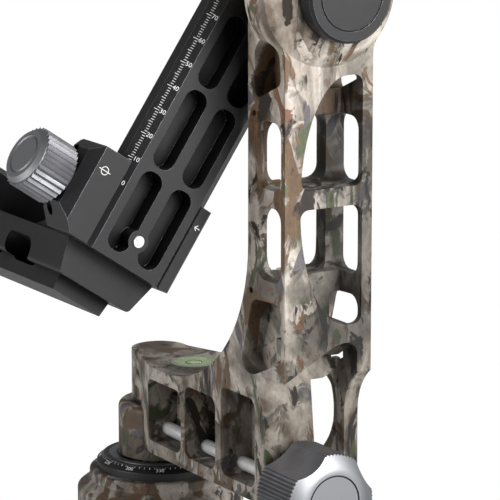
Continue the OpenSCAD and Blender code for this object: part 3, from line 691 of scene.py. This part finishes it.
def corner_steps():
    """The outer wall's far corner is cut back to a sweep, and the leg is filled up to the same sweep."""
    wall_x, leg_x, inner_x, low_z, bend, count = 127.0, 118.3, 112.9, 68.0, 21.5, 12
    past_wall, cut_floor, cut_y, web_y = wall_x + 2, 36, (11.9, 20), (13, 19)
    top = math.acos((leg_x + bend - wall_x) / bend)
    turns = [top * k / count for k in range(count + 1)]
    sweep = [(leg_x + bend - bend * math.cos(t), low_z + bend * math.sin(t)) for t in turns]
    high = sweep[-1][1]
    outside = [(past_wall, high), (past_wall, cut_floor), (leg_x, cut_floor)]
    behind = [(wall_x, high + 2.7), (118.5, high + 0.8), (inner_x, high - 3.2), (inner_x, 38), (leg_x, 41)]
    return [("DIFFERENCE", prism(sweep + outside, *cut_y)), ("UNION", prism(sweep + behind, *web_y))]


def opening_steps():
    """A plate behind the knob, a rounded way through behind it, and a hole with one bowed side in it."""
    plate_x, plate_y, plate_z = (110.9, 113.5), (-5, 14), (45, 88)
    way_centre, way_radii, way_y = (94.5, 65), (16.4, 21.5), (1.5, 20)
    bow_centre, bow_radii, hole_x = (5, 67), (8, 19), (98, 115)
    bow = arc(bow_centre, bow_radii, -66, 55, 6)
    plate = prism(rectangle(plate_y, plate_z), *plate_x, along_x=True)
    way = prism(arc(way_centre, way_radii, 0, 360, 8), *way_y)
    hole = prism([(3.4, 46)] + bow + [(6.5, 81), (0.9, 81)], *hole_x, along_x=True)
    return [("UNION", plate), ("DIFFERENCE", way), ("DIFFERENCE", hole)]


def arch_steps():
    """The arch over the knob is closed on its far side and gets a sloped underside."""
    shutter_y, soffit_y = (13, 14.5), (-14, 13.5)
    shutter = prism([(117, 85), (126, 86.5), (126, 98.5), (117, 98.5)], *shutter_y)
    soffit = prism([(113.3, 99), (126.5, 97.5), (113.3, 89.2)], *soffit_y)
    return [("UNION", shutter), ("UNION", soffit)]


def slit_step(low, high, low_curve, high_curve):
    """A window of the inner wall is widened towards the near side, with long curved corners."""
    edge, width, inside, margin, wall_x = -14.8, 4.5, -6.0, 0.2, (98, 108.6)
    low, high, centre = low + margin, high - margin, edge + width
    lower = arc((centre, low + low_curve), (width, low_curve), 270, 179, -10)
    upper = arc((centre, high - high_curve), (width, high_curve), 180, 89, -10)
    return "DIFFERENCE", prism([(inside, low)] + lower + upper + [(inside, high)], *wall_x, along_x=True)


def frame_casting():
    """The L-frame with these forms, from the node's own mesh."""
    slits = [slit_step(low=156.0, high=181.5, low_curve=7.0, high_curve=9.0),
             slit_step(low=121.5, high=149.5, low_curve=9.0, high_curve=8.0)]
    steps = corner_steps() + opening_steps() + arch_steps() + slits
    bm = bmesh.new()
    bm.from_mesh(NODES["l_frame"].data)
    bmesh.ops.remove_doubles(bm, verts=bm.verts, dist=WELD)
    rough = add("rough_casting", mesh_of(bm, "frame_casting"))
    for operation, tool in steps:
        step = rough.modifiers.new("mend", "BOOLEAN")
        step.operation = operation
        step.object = tool
        step.solver = "EXACT"
    casting = piece("frame_casting", baked(rough), CAMO, "frame")
    for operation, tool in steps:
        bpy.data.objects.remove(tool)
    finish_node("l_frame", casting)
    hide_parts("l_frame")


# The pan knob's own Z lies along the model's X
PAN_PLACE = Matrix.Translation(JOINTS["pan_knob_turn"]["pos_m"]) @ Matrix(
    ((0, 0, 1, 0), (1, 0, 0, 0), (0, 1, 0, 0), (0, 0, 0, 1)))
TILT_PLACE = Matrix.Translation(JOINTS["tilt_knob_turn"]["pos_m"])
lock_knob("pan_knob", "pan_lock", PAN_PLACE, phase=math.radians(31))
lock_knob("tilt_knob", "tilt_lock", TILT_PLACE, phase=math.radians(45))
frame_casting()
rail_scale()
degree_scale()
index_marks()
level_details()


# Camera at the photograph's view, in a 500 by 500 frame
AZIMUTH, ELEVATION = math.radians(58.8), math.radians(12.15)
DISTANCE = 1.2
TARGET = Vector((70.99, 0.0, 123.12)) * MM
PIXELS_PER_METRE = 2600
IMAGE = 500
SENSOR = 36.0
back = Vector((math.sin(AZIMUTH) * math.cos(ELEVATION), -math.cos(AZIMUTH) * math.cos(ELEVATION),
               math.sin(ELEVATION)))
camera_data = bpy.data.cameras.new("camera")
camera_data.sensor_width = SENSOR
camera_data.lens = SENSOR * PIXELS_PER_METRE * DISTANCE / IMAGE
camera = add("camera", camera_data)
camera.location = TARGET + back * DISTANCE
camera.rotation_euler = back.to_track_quat("Z", "Y").to_euler()
bpy.context.scene.camera = camera


# Lights, world and floor
def area_light(name, place, aim, size, power):
    """Soft square lamp that points at a place."""
    data = bpy.data.lights.new(name, "AREA")
    data.size = size
    data.energy = power
    lamp = add(name, data)
    lamp.location = place
    lamp.rotation_euler = (Vector(place) - Vector(aim)).to_track_quat("Z", "Y").to_euler()


AIM = (0.08, 0.0, 0.13)
area_light("key", (1.4, 0.3, 0.6), AIM, size=0.9, power=41)
area_light("front", (-0.1, -1.15, 0.35), AIM, size=0.6, power=8.8)
area_light("rim", (-0.6, 1.1, 0.5), AIM, size=0.7, power=5)


def ray_values(tree, camera, glossy, other):
    """A value that differs for rays from the camera, from reflections and from the rest."""
    path = tree.nodes.new("ShaderNodeLightPath")
    value = None
    for ray, high in (("Is Glossy Ray", glossy), ("Is Camera Ray", camera)):
        mix = tree.nodes.new("ShaderNodeMix")
        tree.links.new(path.outputs[ray], mix.inputs["Factor"])
        if value:
            tree.links.new(value, mix.inputs["A"])
        else:
            mix.inputs["A"].default_value = other
        mix.inputs["B"].default_value = high
        value = mix.outputs["Result"]
    return value


def studio_world():
    """Even soft light, white where it is seen."""
    world = bpy.data.worlds.new("studio")
    bpy.context.scene.world = world
    world.use_nodes = True
    tree = world.node_tree
    background = tree.nodes["Background"]
    background.inputs["Color"].default_value = (1, 1, 1, 1)
    strength = ray_values(tree, camera=1.0, glossy=0.26, other=0.13)
    tree.links.new(strength, background.inputs["Strength"])


def studio_floor():
    """Floor that is plain white where it is seen, as in the photograph."""
    size, drop = 6.0, 0.05 * MM
    mesh = bpy.data.meshes.new("floor")
    corners = [(x, y, 0) for x, y in rectangle((-size, size), (-size, size))]
    mesh.from_pydata(corners, [], [(0, 1, 2, 3)])
    floor = add("floor", mesh)
    floor.location.z = cad_box[0].z - drop
    material = bpy.data.materials.new("floor")
    material.use_nodes = True
    tree = material.node_tree
    tree.nodes.clear()
    out = tree.nodes.new("ShaderNodeOutputMaterial")
    matt = tree.nodes.new("ShaderNodeBsdfDiffuse")
    matt.inputs["Color"].default_value = (0.6, 0.6, 0.6, 1)
    glow = tree.nodes.new("ShaderNodeEmission")
    mix = tree.nodes.new("ShaderNodeMixShader")
    tree.links.new(ray_values(tree, camera=1.0, glossy=0.15, other=0.0), mix.inputs[0])
    tree.links.new(matt.outputs[0], mix.inputs[1])
    tree.links.new(glow.outputs[0], mix.inputs[2])
    tree.links.new(mix.outputs[0], out.inputs[0])
    mesh.materials.append(material)


studio_world()
studio_floor()
bpy.context.scene.view_settings.view_transform = "Standard"
